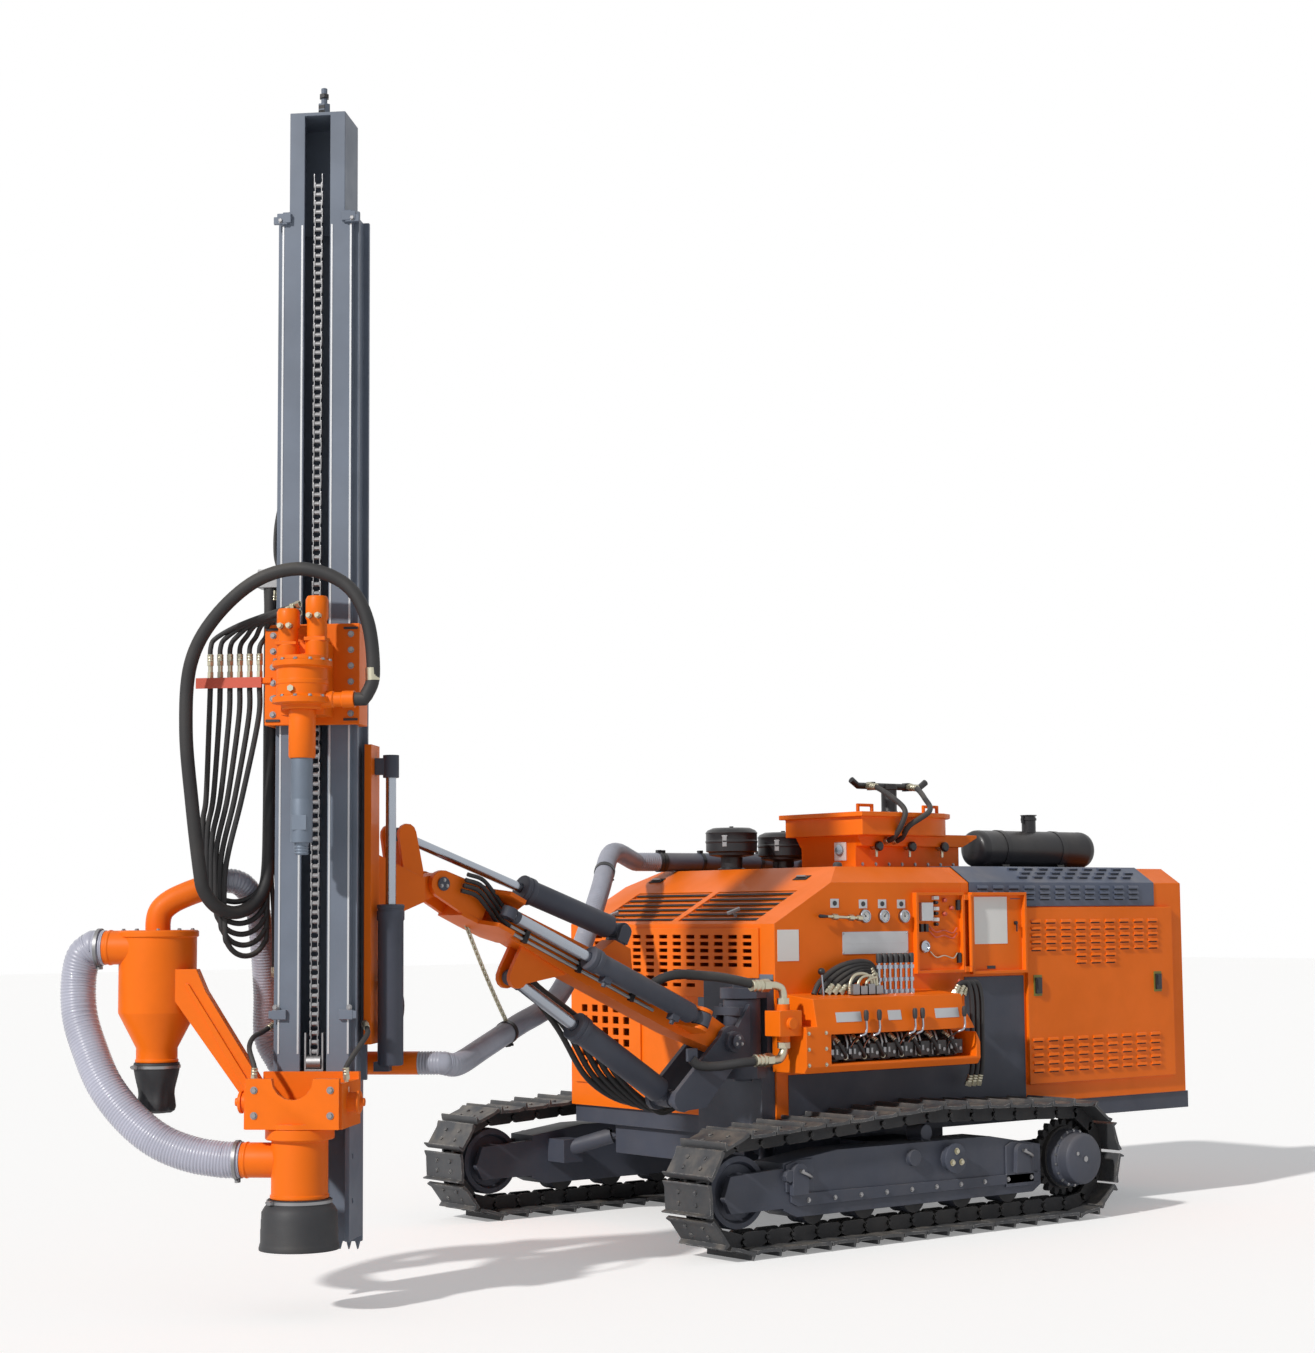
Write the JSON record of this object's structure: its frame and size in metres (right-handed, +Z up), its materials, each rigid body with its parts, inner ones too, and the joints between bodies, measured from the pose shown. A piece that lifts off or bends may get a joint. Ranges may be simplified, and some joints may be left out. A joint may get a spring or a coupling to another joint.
{
  "type": "crawler drilling rig",
  "caption": "Tracked rock drill with a hinged boom, an upright feed beam with a sliding rotary head, a dust collector and an enclosed engine housing.",
  "frame": {"origin": "on the ground, under the middle of the footprint of the rig as it stands, hoses left out", "axes": "+X forwards from the engine housing to the feed beam, +Y to the machine's left, +Z up"},
  "size_m": [6.5091, 2.565, 5.13],
  "materials": {
    "bare_steel": "plain machined steel",
    "black_paint": "satin black paint",
    "black_rubber": "matt black rubber",
    "chrome": "polished plated rod",
    "engine_grey": "dull grey casting",
    "grey_hose": "satin grey ribbed hose",
    "orange_paint": "semi-gloss orange enamel",
    "slate_paint": "satin dark slate enamel",
    "track_steel": "worn dark track steel"
  },
  "bodies": {
    "root": {"air_cleaner_front": "black_paint", "air_cleaner_rear": "black_paint", "air_header": "black_paint", "base_frame": "slate_paint", "chassis": "slate_paint", "control_bench": "orange_paint", "dust_collector": "orange_paint", "dust_pipe": "grey_hose", "electrical_box": "orange_paint", "engine_block": "engine_grey", "final_drive_left": "slate_paint", "final_drive_right": "slate_paint", "front_grille": "orange_paint", "front_housing": "orange_paint", "hose_manifold": "orange_paint", "idler_left": "slate_paint", "idler_right": "slate_paint", "levelling_cylinder_left": "slate_paint", "levelling_cylinder_right": "slate_paint", "louvred_cover": "slate_paint", "muffler": "black_paint", "rear_housing": "orange_paint", "track_frame_left": "slate_paint", "track_frame_right": "slate_paint", "track_left": "track_steel", "track_right": "track_steel", "valve_bank": "bare_steel"},
    "swing_bracket": {"swing_bracket": "slate_paint"},
    "boom": {"boom": "orange_paint", "dust_hose": "grey_hose"},
    "lift_barrel": {"lift_barrel": "slate_paint"},
    "lift_rod": {"lift_rod": "chrome"},
    "boom_head": {"boom_head": "orange_paint"},
    "yaw_barrel": {"yaw_barrel": "slate_paint"},
    "yaw_rod": {"yaw_rod": "chrome"},
    "tilt_trunnion": {"tilt_trunnion": "slate_paint"},
    "tilt_barrel": {"tilt_barrel": "slate_paint"},
    "tilt_rod": {"tilt_rod": "chrome"},
    "feed_holder": {"dust_elbow": "orange_paint", "feed_holder": "orange_paint", "holder_cylinder_rod": "chrome"},
    "feed_beam": {"clamp_table": "orange_paint", "cyclone": "orange_paint", "cyclone_bag": "black_rubber", "dust_boot": "black_rubber", "dust_hood": "orange_paint", "feed_beam": "slate_paint", "feed_chain": "black_paint", "holder_cylinder_barrel": "slate_paint", "hose_anchor": "bare_steel", "outlet_hose": "grey_hose", "suction_hose": "grey_hose"},
    "carriage": {"air_hose": "black_rubber", "carriage": "orange_paint", "rotation_head": "orange_paint"},
    "spindle": {"drill_string": "bare_steel"},
    "electrical_door": {"electrical_door": "orange_paint"},
    "side_door_left": {"side_door_left": "orange_paint"},
    "side_door_right": {"side_door_right": "orange_paint"}
  },
  "joints": [
    {"name": "boom_swing", "type": "hinge", "parent": "root", "child": "swing_bracket", "pos_m": [-0.06512, 0.67774, 0.87], "axis": [0, 0, 1], "range_deg": [-30, 25], "deforming": ["dust_hose"]},
    {"name": "boom_lift", "type": "hinge", "parent": "swing_bracket", "child": "boom", "pos_m": [0.09288, 0.67774, 0.977], "axis": [0, -1, 0], "range_deg": [-4, 30]},
    {"name": "lift_barrel_turn", "type": "hinge", "parent": "swing_bracket", "child": "lift_barrel", "pos_m": [0.38688, 0.67774, 0.72], "axis": [0, -1, 0], "range_deg": [-5.1, 31.76]},
    {"name": "lift_rod_slide", "type": "slide", "parent": "lift_barrel", "child": "lift_rod", "axis": [0.8389, 0, 0.5443], "range_m": [-0.031, 0.2062]},
    {"name": "feed_swing", "type": "hinge", "parent": "boom", "child": "boom_head", "pos_m": [1.38399, 0.67774, 1.56812], "axis": [-0.4163, 0, 0.9092], "range_deg": [-25, 25]},
    {"name": "yaw_barrel_turn", "type": "hinge", "parent": "boom", "child": "yaw_barrel", "pos_m": [0.33837, 0.86274, 1.0894], "axis": [-0.4163, 0, 0.9092], "range_deg": [-1.99, 1.99]},
    {"name": "yaw_rod_slide", "type": "slide", "parent": "yaw_barrel", "child": "yaw_rod", "axis": [0.9092, 0, 0.4163], "range_m": [-0.0833, 0.0833]},
    {"name": "tilt_trunnion_turn", "type": "hinge", "parent": "boom", "child": "tilt_trunnion", "pos_m": [0.67061, 0.67774, 1.49997], "axis": [-0.4163, 0, 0.9092], "range_deg": [-12.83, 12.83]},
    {"name": "feed_tilt", "type": "hinge", "parent": "boom_head", "child": "feed_holder", "pos_m": [1.71314, 0.67774, 1.71881], "axis": [0, -1, 0], "range_deg": [-15, 30]},
    {"name": "tilt_barrel_turn", "type": "hinge", "parent": "tilt_trunnion", "child": "tilt_barrel", "pos_m": [0.67061, 0.67774, 1.49997], "axis": [0, -1, 0], "range_deg": [-3.51, 6.02]},
    {"name": "tilt_rod_slide", "type": "slide", "parent": "tilt_barrel", "child": "tilt_rod", "axis": [0.9415, 0, 0.3369], "range_m": [-0.0954, 0.0497]},
    {"name": "feed_extend", "type": "slide", "parent": "feed_holder", "child": "feed_beam", "axis": [0, 0, 1], "range_m": [-0.15, 0.45], "deforming": ["outlet_hose"]},
    {"name": "head_feed", "type": "slide", "parent": "feed_beam", "child": "carriage", "axis": [0, 0, 1], "range_m": [-1.15, 1.7], "deforming": ["air_hose"]},
    {"name": "spindle_turn", "type": "hinge", "parent": "carriage", "child": "spindle", "pos_m": [2.59322, 1.06609, 2.37], "axis": [0, 0, 1], "continuous": true},
    {"name": "electrical_door_hinge", "type": "hinge", "parent": "root", "child": "electrical_door", "pos_m": [-1.51512, 0.79874, 1.6], "axis": [0, 0, 1], "range_deg": [-178, 0]},
    {"name": "side_door_left_hinge", "type": "hinge", "parent": "root", "child": "side_door_left", "pos_m": [-2.48512, 0.77974, 1.6], "axis": [1, 0, 0], "range_deg": [0, 80]},
    {"name": "side_door_right_hinge", "type": "hinge", "parent": "root", "child": "side_door_right", "pos_m": [-2.48512, -0.92426, 1.6], "axis": [-1, 0, 0], "range_deg": [0, 80]}
  ],
  "couplings": [
    {"joint": "lift_barrel_turn", "follows": "boom_lift", "ratio": 1.0254},
    {"joint": "lift_rod_slide", "follows": "boom_lift", "m_per_rad": 0.3862},
    {"joint": "yaw_barrel_turn", "follows": "feed_swing", "ratio": 0.0396},
    {"joint": "yaw_rod_slide", "follows": "feed_swing", "m_per_rad": -0.1818},
    {"joint": "tilt_trunnion_turn", "follows": "feed_swing", "ratio": 0.4733},
    {"joint": "tilt_barrel_turn", "follows": "feed_tilt", "ratio": 0.1673},
    {"joint": "tilt_rod_slide", "follows": "feed_tilt", "m_per_rad": -0.1745}
  ]
}
